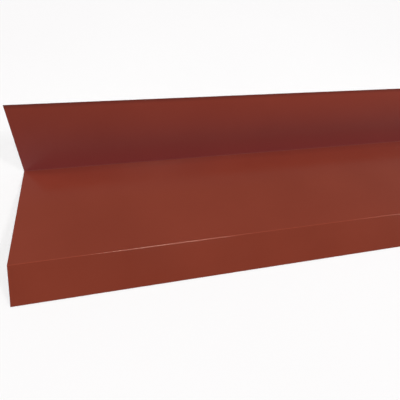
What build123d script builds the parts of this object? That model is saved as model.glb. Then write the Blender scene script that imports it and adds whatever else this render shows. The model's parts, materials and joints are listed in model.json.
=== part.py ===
from build123d import *
import os
from math import asin, degrees, radians, sin

# Wall flashing: one strip of painted sheet steel, folded twice along its length.
# The upstand goes against a wall, the apron lies over the roof covering, and the
# skirt turns down at the front. Lengths are in millimetres, angles in degrees.

# Driving dimensions
length = 2000.0
upstand_width = 100.0
apron_width = 150.0
skirt_width = 50.0
sheet_thickness = 0.6
inside_bend_radius = 1.0
crease_angle = 110.0
skirt_fold = 35.0

# The outside of each bend is one sheet thickness further from its centre.
outside_bend_radius = inside_bend_radius + sheet_thickness

# Fold lines and cut edges of the weather face, in the section's own frame:
# the apron runs along X from the front bend to the crease, and the weather side is up.
front_bend = Vector(0, 0)
crease = Vector(apron_width, 0)
upstand_rise = 180 - crease_angle
top_edge = crease + Vector(upstand_width, 0).rotate(Axis.Z, upstand_rise)
skirt_edge = front_bend - Vector(skirt_width, 0).rotate(Axis.Z, skirt_fold)

# Laid down, the flashing stands on the skirt's lower corner (the toe) and on the
# outside of the crease (the heel). The floor passes through the toe and touches
# the heel's arc from below.
toe = skirt_edge + Vector(0, -sheet_thickness).rotate(Axis.Z, skirt_fold)
heel_offset = inside_bend_radius / sin(radians(crease_angle / 2))
heel_centre = crease + Vector(heel_offset, 0).rotate(Axis.Z, 180 - crease_angle / 2)
stride = heel_centre - toe
heel_lift = degrees(asin(outside_bend_radius / stride.length))
floor_rise = Vector(1, 0).get_signed_angle(stride, Vector(0, 0, 1)) - heel_lift

# Section of the folded sheet: the weather face's line, thickened towards the underside
with BuildSketch() as section:
    with BuildLine():
        FilletPolyline(
            skirt_edge,
            front_bend,
            crease,
            top_edge,
            radius=[outside_bend_radius, inside_bend_radius],
        )
        offset(amount=sheet_thickness, side=Side.RIGHT, closed=True)
    make_face()

# The section turned to stand on the floor, and the plane that centres it there
standing_section = section.sketch.rotate(Axis.Z, -floor_rise)
extent = standing_section.bounding_box()
left_end = Plane(
    origin=(-length / 2, -extent.center().X, -extent.min.Y),
    x_dir=(0, 1, 0),
    z_dir=(1, 0, 0),
)

# The sheet runs along X, with the skirt at -Y and the upstand at +Y.
with BuildPart() as flashing_sheet:
    with BuildSketch(left_end):
        add(standing_section)
    extrude(amount=length)

flashing_sheet.part.label = "flashing_sheet"

os.makedirs("parts", exist_ok=True)
export_step(flashing_sheet.part, "parts/flashing_sheet.step")
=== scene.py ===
import json
import math
from collections import namedtuple

import bpy
from mathutils import Matrix, Vector


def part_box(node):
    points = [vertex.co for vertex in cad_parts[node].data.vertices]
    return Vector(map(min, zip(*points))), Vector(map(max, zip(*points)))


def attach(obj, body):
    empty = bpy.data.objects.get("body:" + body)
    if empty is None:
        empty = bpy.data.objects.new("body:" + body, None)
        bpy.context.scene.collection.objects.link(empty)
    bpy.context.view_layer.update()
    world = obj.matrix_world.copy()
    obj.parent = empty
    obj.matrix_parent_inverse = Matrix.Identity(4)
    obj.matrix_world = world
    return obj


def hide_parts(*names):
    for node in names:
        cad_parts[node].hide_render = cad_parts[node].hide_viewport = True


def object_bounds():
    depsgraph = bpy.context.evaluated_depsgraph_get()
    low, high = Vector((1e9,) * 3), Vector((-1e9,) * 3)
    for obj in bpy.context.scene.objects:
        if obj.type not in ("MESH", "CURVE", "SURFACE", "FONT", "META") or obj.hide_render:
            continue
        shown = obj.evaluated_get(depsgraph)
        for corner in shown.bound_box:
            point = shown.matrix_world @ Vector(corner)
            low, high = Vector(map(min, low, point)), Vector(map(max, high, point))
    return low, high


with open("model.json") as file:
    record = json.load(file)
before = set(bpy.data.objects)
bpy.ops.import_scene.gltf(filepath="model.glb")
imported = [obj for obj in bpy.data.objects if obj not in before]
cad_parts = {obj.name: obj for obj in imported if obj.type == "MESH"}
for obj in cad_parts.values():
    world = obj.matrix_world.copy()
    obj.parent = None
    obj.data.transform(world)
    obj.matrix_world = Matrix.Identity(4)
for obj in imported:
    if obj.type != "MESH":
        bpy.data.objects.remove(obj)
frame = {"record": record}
cad_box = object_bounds()

# Wall flashing: a strip of painted sheet steel, folded into skirt, apron and upstand.
# Lengths are in metres, angles in degrees and colours in linear light.

# Sizes of the sheet and its two folds
UPSTAND_WIDTH = 0.100
APRON_WIDTH = 0.150
SKIRT_WIDTH = 0.050
SHEET_THICKNESS = 0.0006
INSIDE_BEND_RADIUS = 0.001
CREASE_ANGLE = 110.0
SKIRT_FOLD = 35.0

# How finely the blank is divided before it is folded
LENGTH_STEPS = 120
SKIRT_STEPS = 10
APRON_STEPS = 28
UPSTAND_STEPS = 20
BEND_STEPS = 10

# Slight unevenness of the flats, as thin folded sheet has
WAVE_HEIGHT = 0.00025
WAVE_SCALE = 4.5
WAVE_SEED = 3.0

# Where the paint is darkened: painted shade beside the crease on the apron, and a darker band along the
# top edge
CREASE_SHADE_REACH = 0.014
TOP_RIM_DARK_REACH = 0.006

# How far the painted bluish shade about the crease spreads to both sides of it
SHADE_TINT_REACH = 0.070

# About half the width of the crease's arc: within it, apron gives way to upstand
CREASE_HALF = 0.0006

# How deep the fine texture of the coats is
RELIEF_DEPTH = 0.00002

# Floor: a wide round sheet, just clear of the part
FLOOR_RADIUS = 60.0
FLOOR_SIDES = 96
FLOOR_GAP = 0.0002

# Camera, from the perspective of the photograph
CAMERA_LENS_MM = 28.0
CAMERA_SENSOR_MM = 36.0
CAMERA_FROM_LEFT_END = 0.1653
CAMERA_Y = -0.2067
CAMERA_Z = 0.4231
CAMERA_AZIMUTH = 22.48
CAMERA_ELEVATION = 60.03
CAMERA_ROLL = 14.13
CAMERA_SHIFT_Y = -0.035
CAMERA_NEAR = 0.01

# Far lamps, and the spot under the part that they face
KEY_PLACE = (-0.27, -1.2, 8.0)
BACK_PLACE = (-7.9, 4.9, 4.5)
SIDE_PLACE = (6.9, -2.0, 7.0)
LAMP_AIM = (-0.6, 0.0, 0.0)

# Low card in front, which faces up and leans a little away from the part
CARD_PLACE = (0.1, -0.21, 0.012)
CARD_AIM = (0.1, -0.285, 1.0)


def mount_axis(name):
    """Outward direction of one of the record's mounts."""
    for mount in frame["record"]["mounts"]:
        if mount["name"] == name:
            return Vector(mount["axis"])
    raise ValueError(f"the record has no mount named {name}")


def show(name, data):
    """Puts a mesh, a lamp or a camera into the scene."""
    item = bpy.data.objects.new(name, data)
    bpy.context.scene.collection.objects.link(item)
    return item


# Node trees

class Graph:
    """A node tree, with short ways to add a node and to join sockets."""

    def __init__(self, tree):
        self.tree = tree

    def add(self, kind, inputs=None, **options):
        """Adds a node, sets its options, then feeds its inputs with values or other nodes' sockets."""
        node = self.tree.nodes.new(kind)
        for name, value in options.items():
            setattr(node, name, value)
        for key, value in (inputs or {}).items():
            self.feed(node.inputs[key], value)
        return node

    def feed(self, socket, value):
        """Links a socket to another node's, or sets it to a value."""
        if isinstance(value, bpy.types.NodeSocket):
            self.tree.links.new(value, socket)
        else:
            socket.default_value = value

    def math(self, operation, first, second=0.0):
        node = self.add("ShaderNodeMath", {0: first, 1: second}, operation=operation)
        return node.outputs[0]

    def plus(self, first, second):
        return self.math("ADD", first, second)

    def minus(self, first, second):
        return self.math("SUBTRACT", first, second)

    def times(self, first, second):
        return self.math("MULTIPLY", first, second)

    def total(self, values):
        """Adds several values up."""
        result = values[0]
        for value in values[1:]:
            result = self.plus(result, value)
        return result

    def is_less(self, first, second):
        return self.add("FunctionNodeCompare", {0: first, 1: second}, operation="LESS_THAN").outputs[0]

    def ramp(self, value, low, high, to_low=0.0, to_high=1.0):
        """Maps low..high to to_low..to_high, held at both ends."""
        inputs = {0: value, 1: low, 2: high, 3: to_low, 4: to_high}
        return self.add("ShaderNodeMapRange", inputs).outputs[0]

    def vector(self, x=0.0, y=0.0, z=0.0):
        return self.add("ShaderNodeCombineXYZ", {0: x, 1: y, 2: z}).outputs[0]

    def parts(self, vector):
        """A vector's x, y and z."""
        return self.add("ShaderNodeSeparateXYZ", {0: vector}).outputs

    def scaled(self, vector, scale):
        """A vector stretched by a different factor along each axis."""
        return self.add("ShaderNodeMapping", {"Vector": vector, "Scale": scale}).outputs[0]

    def noise(self, vector, scale, detail):
        inputs = {"Vector": vector, "Scale": scale, "Detail": detail}
        return self.add("ShaderNodeTexNoise", inputs).outputs[0]

    def blend(self, share, first, second):
        """Mixes a share of the second colour into the first."""
        node = self.add("ShaderNodeMix", {0: share, 6: first, 7: second}, data_type="RGBA")
        return node.outputs[2]


def new_tree(name, inputs):
    """An empty geometry tree that gives out a sheet: the tree, its graph and its inputs."""
    tree = bpy.data.node_groups.new(name, "GeometryNodeTree")
    for kind, labels in inputs.items():
        for label in labels:
            tree.interface.new_socket(label, in_out="INPUT", socket_type=kind)
    tree.interface.new_socket("Sheet", in_out="OUTPUT", socket_type="NodeSocketGeometry")
    graph = Graph(tree)
    return tree, graph, graph.add("NodeGroupInput").outputs


# Folded sheet

# A flat or a bend: its width on the weather face, its rows, and what it does to the paint there
Zone = namedtuple("Zone", "width steps strain")
Zones = namedtuple("Zones", "skirt front_bend apron crease upstand")

# What a fold does to the paint on the weather face
FLAT = 0.0
STRETCHED = 1.0
SQUEEZED = -1.0

# What each point keeps for the finishes: its place on the flat strip, and the paint's strain
STRIP = "strip"
STRAIN = "stretch"

# Edges that turn further than this stay sharp
SHARP_TURN = 60.0

# Faces of the flat blank whose normals are less upright than this are its cut edges
UPRIGHT = 0.5


def press_brake_fold():
    """Node group: folds a flat sheet about a line along X, with a given radius on its weather face.

    A positive angle and radius fold the far side up, and negative ones fold it down.
    """
    tree, graph, given = new_tree("press_brake_fold", {
        "NodeSocketGeometry": ("Sheet",),
        "NodeSocketFloat": ("Fold Line", "Angle", "Weather Radius"),
    })
    line, angle, radius = given["Fold Line"], given["Angle"], given["Weather Radius"]
    x, y, z = graph.parts(graph.add("GeometryNodeInputPosition").outputs[0])

    # The arc starts at the fold line, and what lies beyond it goes straight on
    arc_end = graph.plus(line, graph.times(radius, angle))
    turn = graph.ramp(y, line, arc_end, 0.0, angle)
    sine = graph.math("SINE", turn)
    cosine = graph.math("COSINE", turn)
    before = graph.math("MINIMUM", y, line)
    beyond = graph.math("MAXIMUM", graph.minus(y, arc_end), 0.0)
    reach = graph.minus(radius, z)
    folded_y = graph.total([before, graph.times(reach, sine), graph.times(beyond, cosine)])
    folded_z = graph.plus(graph.minus(radius, graph.times(reach, cosine)), graph.times(beyond, sine))
    folded = graph.vector(x, folded_y, folded_z)
    moved = graph.add("GeometryNodeSetPosition", {"Geometry": given["Sheet"], "Position": folded})
    graph.add("NodeGroupOutput", {"Sheet": moved.outputs[0]})
    return tree


def setback(graph, radius, turn):
    """How far before its fold line a bend's arc starts."""
    return graph.times(radius, graph.math("TANGENT", graph.times(turn, 0.5)))


def blank_zones(graph, given, inside, outside):
    """The flats and bends across the blank, as they measure on the weather face."""
    crease_turn, skirt_fold = given["Crease Turn"], given["Skirt Fold"]
    crease_setback = setback(graph, inside, crease_turn)
    front_setback = setback(graph, outside, skirt_fold)
    setbacks = graph.plus(crease_setback, front_setback)
    return Zones(
        skirt=Zone(graph.minus(given["Skirt Width"], front_setback), given["Skirt Steps"], FLAT),
        front_bend=Zone(graph.times(outside, skirt_fold), given["Bend Steps"], STRETCHED),
        apron=Zone(graph.minus(given["Apron Width"], setbacks), given["Apron Steps"], FLAT),
        crease=Zone(graph.times(inside, crease_turn), given["Bend Steps"], SQUEEZED),
        upstand=Zone(graph.minus(given["Upstand Width"], crease_setback), given["Upstand Steps"], FLAT),
    )


def cut_blank(graph, given, all_steps):
    """A thin box, one metre wide until its rows are laid, and which way each of its faces looks."""
    blank = graph.add("GeometryNodeMeshCube", {
        "Size": graph.vector(given["Length"], 1.0, given["Sheet Thickness"]),
        "Vertices X": graph.plus(given["Length Steps"], 1.0),
        "Vertices Y": graph.plus(all_steps, 1.0),
        "Vertices Z": 2,
    })
    normal = graph.add("GeometryNodeInputNormal").outputs[0]
    marked = graph.add("GeometryNodeCaptureAttribute", {"Geometry": blank.outputs["Mesh"]}, domain="FACE")
    marked.capture_items.new("FLOAT", "Facing")
    graph.feed(marked.inputs["Facing"], graph.parts(normal)[2])
    return marked.outputs["Geometry"], marked.outputs["Facing"]


def keep(graph, sheet, name, kind, value):
    """Stores a value at each point, where the finishes can read it."""
    inputs = {"Geometry": sheet, "Name": name, "Value": value}
    stored = graph.add("GeometryNodeStoreNamedAttribute", inputs, data_type=kind, domain="POINT")
    return stored.outputs[0]


def lay_rows(graph, given, blank, zones, all_steps, crease_line):
    """Lays each row of points in its place across the sheet, with a slight unevenness on the flats."""
    x, y, z = graph.parts(graph.add("GeometryNodeInputPosition").outputs[0])

    # Steps count from the skirt's cut edge, at y = -0.5 on the blank
    step = graph.times(graph.plus(y, 0.5), all_steps)
    shares = []
    first = 0.0
    for zone in zones:
        last = graph.plus(first, zone.steps)
        shares.append(graph.ramp(step, first, last))
        first = last
    across = graph.total([graph.times(share, zone.width) for share, zone in zip(shares, zones)])

    # The unevenness dies out at the folds and the edges, which hold the sheet straight
    swells = [graph.math("SINE", graph.times(share, math.pi)) for share in shares]
    on_flats = graph.total([swell for swell, zone in zip(swells, zones) if zone.strain == FLAT])
    spot = graph.vector(x, across, given["Wave Seed"])
    swing = graph.minus(graph.noise(spot, given["Wave Scale"], detail=1.0), 0.5)
    wave = graph.times(graph.times(swing, on_flats), given["Wave Height"])

    # The weather face is at height 0, and places across count from the middle of the crease
    depth = graph.minus(z, graph.times(given["Sheet Thickness"], 0.5))
    laid = graph.vector(x, across, graph.plus(depth, wave))
    crease_middle = graph.plus(crease_line, graph.times(zones.crease.width, 0.5))
    on_strip = graph.vector(x, graph.minus(across, crease_middle))
    strain = graph.total([graph.times(swell, zone.strain) for swell, zone in zip(swells, zones)])
    sheet = keep(graph, blank, STRIP, "FLOAT_VECTOR", on_strip)
    sheet = keep(graph, sheet, STRAIN, "FLOAT", strain)
    return graph.add("GeometryNodeSetPosition", {"Geometry": sheet, "Position": laid}).outputs[0]


def stand(graph, sheet, lean):
    """Leans the sheet, and stands it on the floor with its footprint centred on the origin."""
    inputs = {"Geometry": sheet, "Rotation": graph.vector(x=lean)}
    leaning = graph.add("GeometryNodeTransform", inputs).outputs[0]
    extent = graph.add("GeometryNodeBoundBox", {"Geometry": leaning}).outputs
    low = graph.parts(extent["Min"])
    high = graph.parts(extent["Max"])
    back = graph.times(graph.plus(low[1], high[1]), -0.5)
    up = graph.times(low[2], -1.0)
    inputs = {"Geometry": leaning, "Offset": graph.vector(y=back, z=up)}
    return graph.add("GeometryNodeSetPosition", inputs).outputs[0]


def smooth_bends(graph, sheet):
    """Shades the bends smooth, and keeps the cut edges sharp."""
    sheet = graph.add("GeometryNodeSetShadeSmooth", {"Geometry": sheet}, domain="FACE").outputs[0]
    turn = graph.add("GeometryNodeInputMeshEdgeAngle").outputs["Unsigned Angle"]
    is_corner = graph.is_less(math.radians(SHARP_TURN), turn)
    inputs = {"Geometry": sheet, "Selection": is_corner, "Shade Smooth": False}
    return graph.add("GeometryNodeSetShadeSmooth", inputs, domain="EDGE").outputs[0]


def finish_sides(graph, given, sheet, facing):
    """Weather coat above, backing coat below, bare metal where the sheet was cut."""
    sheet = graph.add("GeometryNodeRealizeInstances", {"Geometry": sheet}).outputs[0]
    below = graph.is_less(facing, -UPRIGHT)
    cut = graph.is_less(graph.math("ABSOLUTE", facing), UPRIGHT)
    for finish, where in (("Weather Coat", True), ("Backing Coat", below), ("Cut Edge", cut)):
        inputs = {"Geometry": sheet, "Selection": where, "Material": given[finish]}
        sheet = graph.add("GeometryNodeSetMaterial", inputs).outputs[0]
    return sheet


def folded_sheet():
    """Node tree: a flat blank, folded twice, stood on the floor and finished on each side."""
    tree, graph, given = new_tree("folded_sheet", {
        "NodeSocketFloat": (
            "Length", "Skirt Width", "Apron Width", "Upstand Width", "Sheet Thickness",
            "Inside Bend Radius", "Crease Turn", "Skirt Fold", "Apron Fall",
            "Wave Height", "Wave Scale", "Wave Seed",
        ),
        "NodeSocketInt": ("Length Steps", "Skirt Steps", "Apron Steps", "Upstand Steps", "Bend Steps"),
        "NodeSocketMaterial": ("Weather Coat", "Backing Coat", "Cut Edge"),
    })
    inside = given["Inside Bend Radius"]
    outside = graph.plus(inside, given["Sheet Thickness"])
    zones = blank_zones(graph, given, inside, outside)
    all_steps = graph.total([zone.steps for zone in zones])
    front_line = zones.skirt.width
    crease_line = graph.total([front_line, zones.front_bend.width, zones.apron.width])
    blank, facing = cut_blank(graph, given, all_steps)
    sheet = lay_rows(graph, given, blank, zones, all_steps, crease_line)

    # The crease is folded up first, and then the apron is folded down behind the skirt
    fold_down = graph.times(given["Skirt Fold"], -1.0)
    folds = (
        (crease_line, given["Crease Turn"], inside),
        (front_line, fold_down, graph.times(outside, -1.0)),
    )
    fold = press_brake_fold()
    for line, angle, radius in folds:
        inputs = {"Sheet": sheet, "Fold Line": line, "Angle": angle, "Weather Radius": radius}
        sheet = graph.add("GeometryNodeGroup", inputs, node_tree=fold).outputs[0]

    sheet = stand(graph, sheet, graph.minus(given["Skirt Fold"], given["Apron Fall"]))
    sheet = smooth_bends(graph, sheet)
    sheet = finish_sides(graph, given, sheet, facing)
    graph.add("NodeGroupOutput", {"Sheet": sheet})
    return tree


def sheet_values():
    """The folded sheet's sizes, divisions and finishes, by the names of its tree's inputs."""
    low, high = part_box("flashing_sheet")
    under_apron = mount_axis("roof_face")
    return {
        "Length": high[0] - low[0],
        "Skirt Width": SKIRT_WIDTH,
        "Apron Width": APRON_WIDTH,
        "Upstand Width": UPSTAND_WIDTH,
        "Sheet Thickness": SHEET_THICKNESS,
        "Inside Bend Radius": INSIDE_BEND_RADIUS,
        "Crease Turn": math.radians(180.0 - CREASE_ANGLE),
        "Skirt Fold": math.radians(SKIRT_FOLD),
        "Apron Fall": math.atan2(-under_apron.y, -under_apron.z),
        "Wave Height": WAVE_HEIGHT,
        "Wave Scale": WAVE_SCALE,
        "Wave Seed": WAVE_SEED,
        "Length Steps": LENGTH_STEPS,
        "Skirt Steps": SKIRT_STEPS,
        "Apron Steps": APRON_STEPS,
        "Upstand Steps": UPSTAND_STEPS,
        "Bend Steps": BEND_STEPS,
        "Weather Coat": weather_coat(),
        "Backing Coat": backing_coat(),
        "Cut Edge": cut_edge(),
    }


def make_flashing():
    """Builds the folded sheet at the CAD part's place, as a plain mesh."""
    tree = folded_sheet()
    values = sheet_values()
    former = show("flashing_former", bpy.data.meshes.new("flashing_former"))
    modifier = former.modifiers.new("folded_sheet", "NODES")
    modifier.node_group = tree
    for socket in tree.interface.items_tree:
        if socket.in_out == "INPUT":
            modifier[socket.identifier] = values[socket.name]
    depsgraph = bpy.context.evaluated_depsgraph_get()
    mesh = bpy.data.meshes.new_from_object(former.evaluated_get(depsgraph), depsgraph=depsgraph)
    former.modifiers.remove(modifier)
    bpy.data.objects.remove(former)
    mesh.name = "flashing"
    return show("flashing", mesh)


# Finishes

# Stretches of a noise's range that make soft and clear patterns
SOFT = (0.3, 0.7)
CLEAR = (0.35, 0.65)


def new_material(name, constants):
    """A node material, its graph and its shader, with the constants on the shader's own sockets."""
    material = bpy.data.materials.new(name)
    material.use_nodes = True
    material.node_tree.nodes.clear()
    graph = Graph(material.node_tree)
    shader = graph.add("ShaderNodeBsdfPrincipled", constants)
    graph.add("ShaderNodeOutputMaterial", {"Surface": shader.outputs[0]})
    return material, graph, shader


def object_place(graph):
    return graph.add("ShaderNodeTexCoord").outputs["Object"]


def strip_place(graph):
    """Place on the flat strip: along it, and across it from the crease, positive on the upstand."""
    return graph.add("ShaderNodeAttribute", attribute_name=STRIP).outputs["Vector"]


def add_relief(graph, shader, height, strength):
    """Roughens a surface very slightly."""
    inputs = {"Strength": strength, "Distance": RELIEF_DEPTH, "Height": height}
    graph.feed(shader.inputs["Normal"], graph.add("ShaderNodeBump", inputs).outputs[0])


# Weather coat

PAINT_DARK = (0.21, 0.0325, 0.0154, 1.0)
PAINT_LIGHT = (0.23, 0.0375, 0.0184, 1.0)
# Paler paint along the front bend: partly stretched paint, partly a painted highlight
STRETCHED_PAINT_AND_HIGHLIGHT = (0.34, 0.06, 0.03, 1.0)
# Darker paint in the crease, a painted shade
PAINTED_CREASE_SHADE = (0.13, 0.004, 0.004, 1.0)
# Dark tone for painted shade beside the crease, and for a darker band along the top edge
SHADE_AND_RIM_DARK = (0.03, 0.006, 0.006, 1.0)
# Bluish tone for painted shade about the crease and low on the upstand
PAINTED_SHADE_TINT = (0.236, 0.037, 0.058, 1.0)
WARM_REFLECTION = (1.0, 0.84, 0.72, 1.0)

# How much of each tone is mixed in where it is strongest
STRETCHED_AND_HIGHLIGHT_SHARE = 0.7
PAINTED_CREASE_SHADE_SHARE = 0.45
CREASE_SHADE_SHARE = 0.20
TOP_RIM_DARK_SHARE = 0.5
CREASE_SHADE_TINT_SHARE = 0.12
LOW_SHADE_TINT_SHARE = 0.27
HIGH_SHADE_TINT_SHARE = 0.08

# Roughness of the flats, and what the folds add to it
PAINT_ROUGHNESS = (0.17, 0.21)
STRETCHED_ROUGHNESS = -0.03
SQUEEZED_ROUGHNESS = 0.7

# Sizes of the paint's patterns, how much the rolled grain shows beside the peel, and both together
PAINT_CLOUD_SCALE = 9.0
GLOSS_CLOUD_SCALE = 30.0
PAINT_PEEL_SCALE = 650.0
ROLLED_GRAIN = (4.0, 900.0, 1.0)
ROLLED_SHARE = 0.5
PAINT_RELIEF = 0.15


def folded_paint(graph, place, stretched, squeezed):
    """Paint with faint clouds, paler along the front bend, partly as stretched paint and partly as a
    painted highlight, and darker in the crease as painted shade.
    """
    cloud = graph.noise(place, PAINT_CLOUD_SCALE, detail=3.0)
    body = graph.blend(graph.ramp(cloud, *SOFT), PAINT_DARK, PAINT_LIGHT)
    # Paler along the front bend: partly stretched paint, partly a painted highlight
    paint = graph.blend(graph.times(stretched, STRETCHED_AND_HIGHLIGHT_SHARE), body, STRETCHED_PAINT_AND_HIGHLIGHT)
    # Darker in the crease, as painted shade
    return graph.blend(graph.times(squeezed, PAINTED_CREASE_SHADE_SHARE), paint, PAINTED_CREASE_SHADE)


def crease_shade_and_rim_share(graph, from_crease):
    """Painted shade on the apron beside the crease, and a darker band along the top edge."""
    towards_crease = graph.ramp(from_crease, -CREASE_SHADE_REACH, 0.0)
    on_apron = graph.ramp(from_crease, 0.0, CREASE_HALF, 1.0, 0.0)
    beside_crease = graph.times(towards_crease, on_apron)
    top_rim = graph.ramp(from_crease, UPSTAND_WIDTH - TOP_RIM_DARK_REACH, UPSTAND_WIDTH)
    return graph.plus(
        graph.times(beside_crease, CREASE_SHADE_SHARE),
        graph.times(top_rim, TOP_RIM_DARK_SHARE),
    )


def shade_tint_share(graph, from_crease):
    """A faint bluish painted shade about the crease, and up the upstand, where it thins out."""
    distance = graph.math("ABSOLUTE", from_crease)
    nearness = graph.ramp(distance, 0.0, SHADE_TINT_REACH, 1.0, 0.0)
    on_upstand = graph.ramp(from_crease, 0.0, CREASE_HALF)
    upwards = graph.ramp(from_crease, 0.0, UPSTAND_WIDTH, LOW_SHADE_TINT_SHARE, HIGH_SHADE_TINT_SHARE)
    return graph.plus(graph.times(nearness, CREASE_SHADE_TINT_SHARE), graph.times(on_upstand, upwards))


def weather_coat():
    """Satin red-brown paint on the face that shows."""
    constants = {"Specular IOR Level": 0.5, "Specular Tint": WARM_REFLECTION}
    material, graph, shader = new_material("weather_coat", constants)
    place = object_place(graph)
    strip = strip_place(graph)
    from_crease = graph.parts(strip)[1]
    strain = graph.add("ShaderNodeAttribute", attribute_name=STRAIN).outputs["Fac"]
    stretched = graph.math("MAXIMUM", strain, 0.0)
    squeezed = graph.math("MAXIMUM", graph.times(strain, -1.0), 0.0)

    paint = folded_paint(graph, place, stretched, squeezed)
    # Painted shade beside the crease on the apron, and a darker band along the top edge
    shaded_paint = graph.blend(crease_shade_and_rim_share(graph, from_crease), paint, SHADE_AND_RIM_DARK)
    # Bluish painted shade about the crease and low on the upstand
    shade_tinted = graph.blend(shade_tint_share(graph, from_crease), shaded_paint, PAINTED_SHADE_TINT)
    graph.feed(shader.inputs["Base Color"], shade_tinted)

    # Stretched paint is a little glossier, and squeezed paint is dull
    flats = graph.ramp(graph.noise(place, GLOSS_CLOUD_SCALE, detail=2.0), *SOFT, *PAINT_ROUGHNESS)
    roughness = graph.total([
        flats,
        graph.times(stretched, STRETCHED_ROUGHNESS),
        graph.times(squeezed, SQUEEZED_ROUGHNESS),
    ])
    graph.feed(shader.inputs["Roughness"], roughness)

    peel = graph.noise(place, PAINT_PEEL_SCALE, detail=1.0)
    rolled = graph.noise(graph.scaled(strip, ROLLED_GRAIN), 1.0, detail=1.0)
    add_relief(graph, shader, graph.plus(peel, graph.times(rolled, ROLLED_SHARE)), PAINT_RELIEF)
    return material


# Backing coat

BACKING_DARK = (0.40, 0.41, 0.40, 1.0)
BACKING_LIGHT = (0.47, 0.48, 0.465, 1.0)
BACKING_ROUGHNESS = (0.5, 0.6)

# Sizes of its streaks, clouds and peel, and how much each shows
BACKING_STREAKS = (1.5, 220.0, 1.0)
BACKING_CLOUD_SCALE = 14.0
BACKING_PEEL_SCALE = 500.0
STREAK_SHARE = 0.6
CLOUD_SHARE = 0.4
BACKING_RELIEF = 0.2


def backing_coat():
    """Thin pale grey coat on the side that goes against the wall and the roof."""
    material, graph, shader = new_material("backing_coat", {"Specular IOR Level": 0.4})
    place = object_place(graph)
    streak = graph.noise(graph.scaled(strip_place(graph), BACKING_STREAKS), 1.0, detail=3.0)
    cloud = graph.noise(place, BACKING_CLOUD_SCALE, detail=3.0)
    tone = graph.plus(graph.times(streak, STREAK_SHARE), graph.times(cloud, CLOUD_SHARE))
    grey = graph.blend(graph.ramp(tone, *CLEAR), BACKING_DARK, BACKING_LIGHT)
    graph.feed(shader.inputs["Base Color"], grey)
    graph.feed(shader.inputs["Roughness"], graph.ramp(tone, *CLEAR, *BACKING_ROUGHNESS))
    add_relief(graph, shader, graph.noise(place, BACKING_PEEL_SCALE, detail=1.0), BACKING_RELIEF)
    return material


# Cut edge

STEEL_DARK = (0.30, 0.30, 0.31, 1.0)
STEEL_LIGHT = (0.50, 0.50, 0.51, 1.0)
STEEL_ROUGHNESS = (0.35, 0.55)
STEEL_GRAIN_SCALE = 900.0


def cut_edge():
    """Bare zinc-coated steel where the sheet was sheared."""
    material, graph, shader = new_material("cut_edge", {"Metallic": 1.0})
    grain = graph.noise(object_place(graph), STEEL_GRAIN_SCALE, detail=2.0)
    steel = graph.blend(graph.ramp(grain, *CLEAR), STEEL_DARK, STEEL_LIGHT)
    graph.feed(shader.inputs["Base Color"], steel)
    graph.feed(shader.inputs["Roughness"], graph.ramp(grain, *CLEAR, *STEEL_ROUGHNESS))
    return material


# Floor

PAPER_DARK = (0.96, 0.97, 0.977, 1.0)
PAPER_LIGHT = (0.975, 0.985, 0.992, 1.0)
PAPER_CLOUD_SCALE = 2.0


def floor_paper():
    """Plain white paper."""
    constants = {"Roughness": 0.9, "Specular IOR Level": 0.1}
    material, graph, shader = new_material("floor_paper", constants)
    cloud = graph.noise(object_place(graph), PAPER_CLOUD_SCALE, detail=2.0)
    white = graph.blend(graph.ramp(cloud, *SOFT), PAPER_DARK, PAPER_LIGHT)
    graph.feed(shader.inputs["Base Color"], white)
    return material


def make_floor():
    """A wide round floor under the part."""
    turns = [2.0 * math.pi * side / FLOOR_SIDES for side in range(FLOOR_SIDES)]
    rim = [(FLOOR_RADIUS * math.cos(turn), FLOOR_RADIUS * math.sin(turn), -FLOOR_GAP) for turn in turns]
    mesh = bpy.data.meshes.new("floor")
    mesh.from_pydata(rim, [], [tuple(range(FLOOR_SIDES))])
    mesh.materials.append(floor_paper())
    floor = show("floor", mesh)


# Camera and light

LAMP_WHITE = (1.0, 0.98, 0.96)
CARD_WHITE = (1.0, 0.96, 0.90)

# Surroundings: a nearly neutral grey, brighter behind the part than in front of it
SURROUNDINGS = (0.985, 0.967, 1.0, 1.0)
FRONT_STRENGTH = 0.18
BACK_STRENGTH = 0.36


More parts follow.
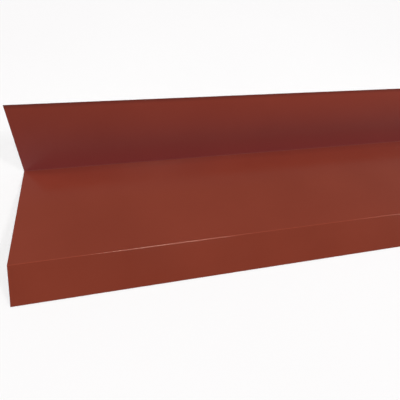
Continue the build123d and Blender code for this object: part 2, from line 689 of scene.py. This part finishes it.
def make_camera():
    """The photograph's viewpoint, by the part's left end."""
    data = bpy.data.cameras.new("camera")
    data.lens = CAMERA_LENS_MM
    data.sensor_width = CAMERA_SENSOR_MM
    data.shift_y = CAMERA_SHIFT_Y
    data.clip_start = CAMERA_NEAR
    camera = show("camera", data)
    left_end = cad_box[0][0]
    eye = Vector((left_end + CAMERA_FROM_LEFT_END, CAMERA_Y, CAMERA_Z))
    turn = Matrix.Rotation(math.radians(-CAMERA_AZIMUTH), 4, "Z")
    tip = Matrix.Rotation(math.radians(90.0 - CAMERA_ELEVATION), 4, "X")
    roll = Matrix.Rotation(math.radians(CAMERA_ROLL), 4, "Z")
    camera.matrix_world = Matrix.Translation(eye) @ turn @ tip @ roll
    bpy.context.scene.camera = camera


def make_surroundings():
    """Soft light from all round, and what the paint reflects."""
    world = bpy.data.worlds.new("studio")
    world.use_nodes = True
    bpy.context.scene.world = world
    background = world.node_tree.nodes["Background"]
    background.inputs["Color"].default_value = SURROUNDINGS
    graph = Graph(world.node_tree)
    direction = graph.add("ShaderNodeTexCoord").outputs["Generated"]
    towards_back = graph.parts(direction)[1]
    strength = graph.ramp(towards_back, -1.0, 1.0, FRONT_STRENGTH, BACK_STRENGTH)
    graph.feed(background.inputs["Strength"], strength)


def make_lamp(name, place, aim, watts, width, depth=None, colour=LAMP_WHITE):
    """A soft lamp that faces its aim: a disc, or a rectangle where it has a depth."""
    data = bpy.data.lights.new(name, "AREA")
    data.energy = watts
    data.color = colour
    data.size = width
    data.shape = "DISK"
    if depth is not None:
        data.shape = "RECTANGLE"
        data.size_y = depth
    lamp = show(name, data)
    toward = Vector(aim) - Vector(place)
    facing = toward.to_track_quat("-Z", "Y").to_matrix().to_4x4()
    lamp.matrix_world = Matrix.Translation(place) @ facing
    return lamp


def make_lamps():
    """Three far lamps, and a card low in front that lights the upstand as a bright floor does."""
    make_lamp("key", KEY_PLACE, LAMP_AIM, watts=412.0, width=3.4)
    make_lamp("back", BACK_PLACE, LAMP_AIM, watts=145.0, width=2.6)
    make_lamp("side", SIDE_PLACE, LAMP_AIM, watts=130.0, width=2.0)
    card = make_lamp(
        "front_card", CARD_PLACE, CARD_AIM,
        watts=8.0, width=2.0, depth=0.15, colour=CARD_WHITE,
    )
    card.visible_glossy = False
    card.visible_camera = False


flashing = make_flashing()
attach(flashing, "root")
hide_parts("flashing_sheet")
make_floor()
make_surroundings()
make_lamps()
make_camera()
bpy.context.scene.view_settings.view_transform = "Standard"

bpy.context.view_layer.update()
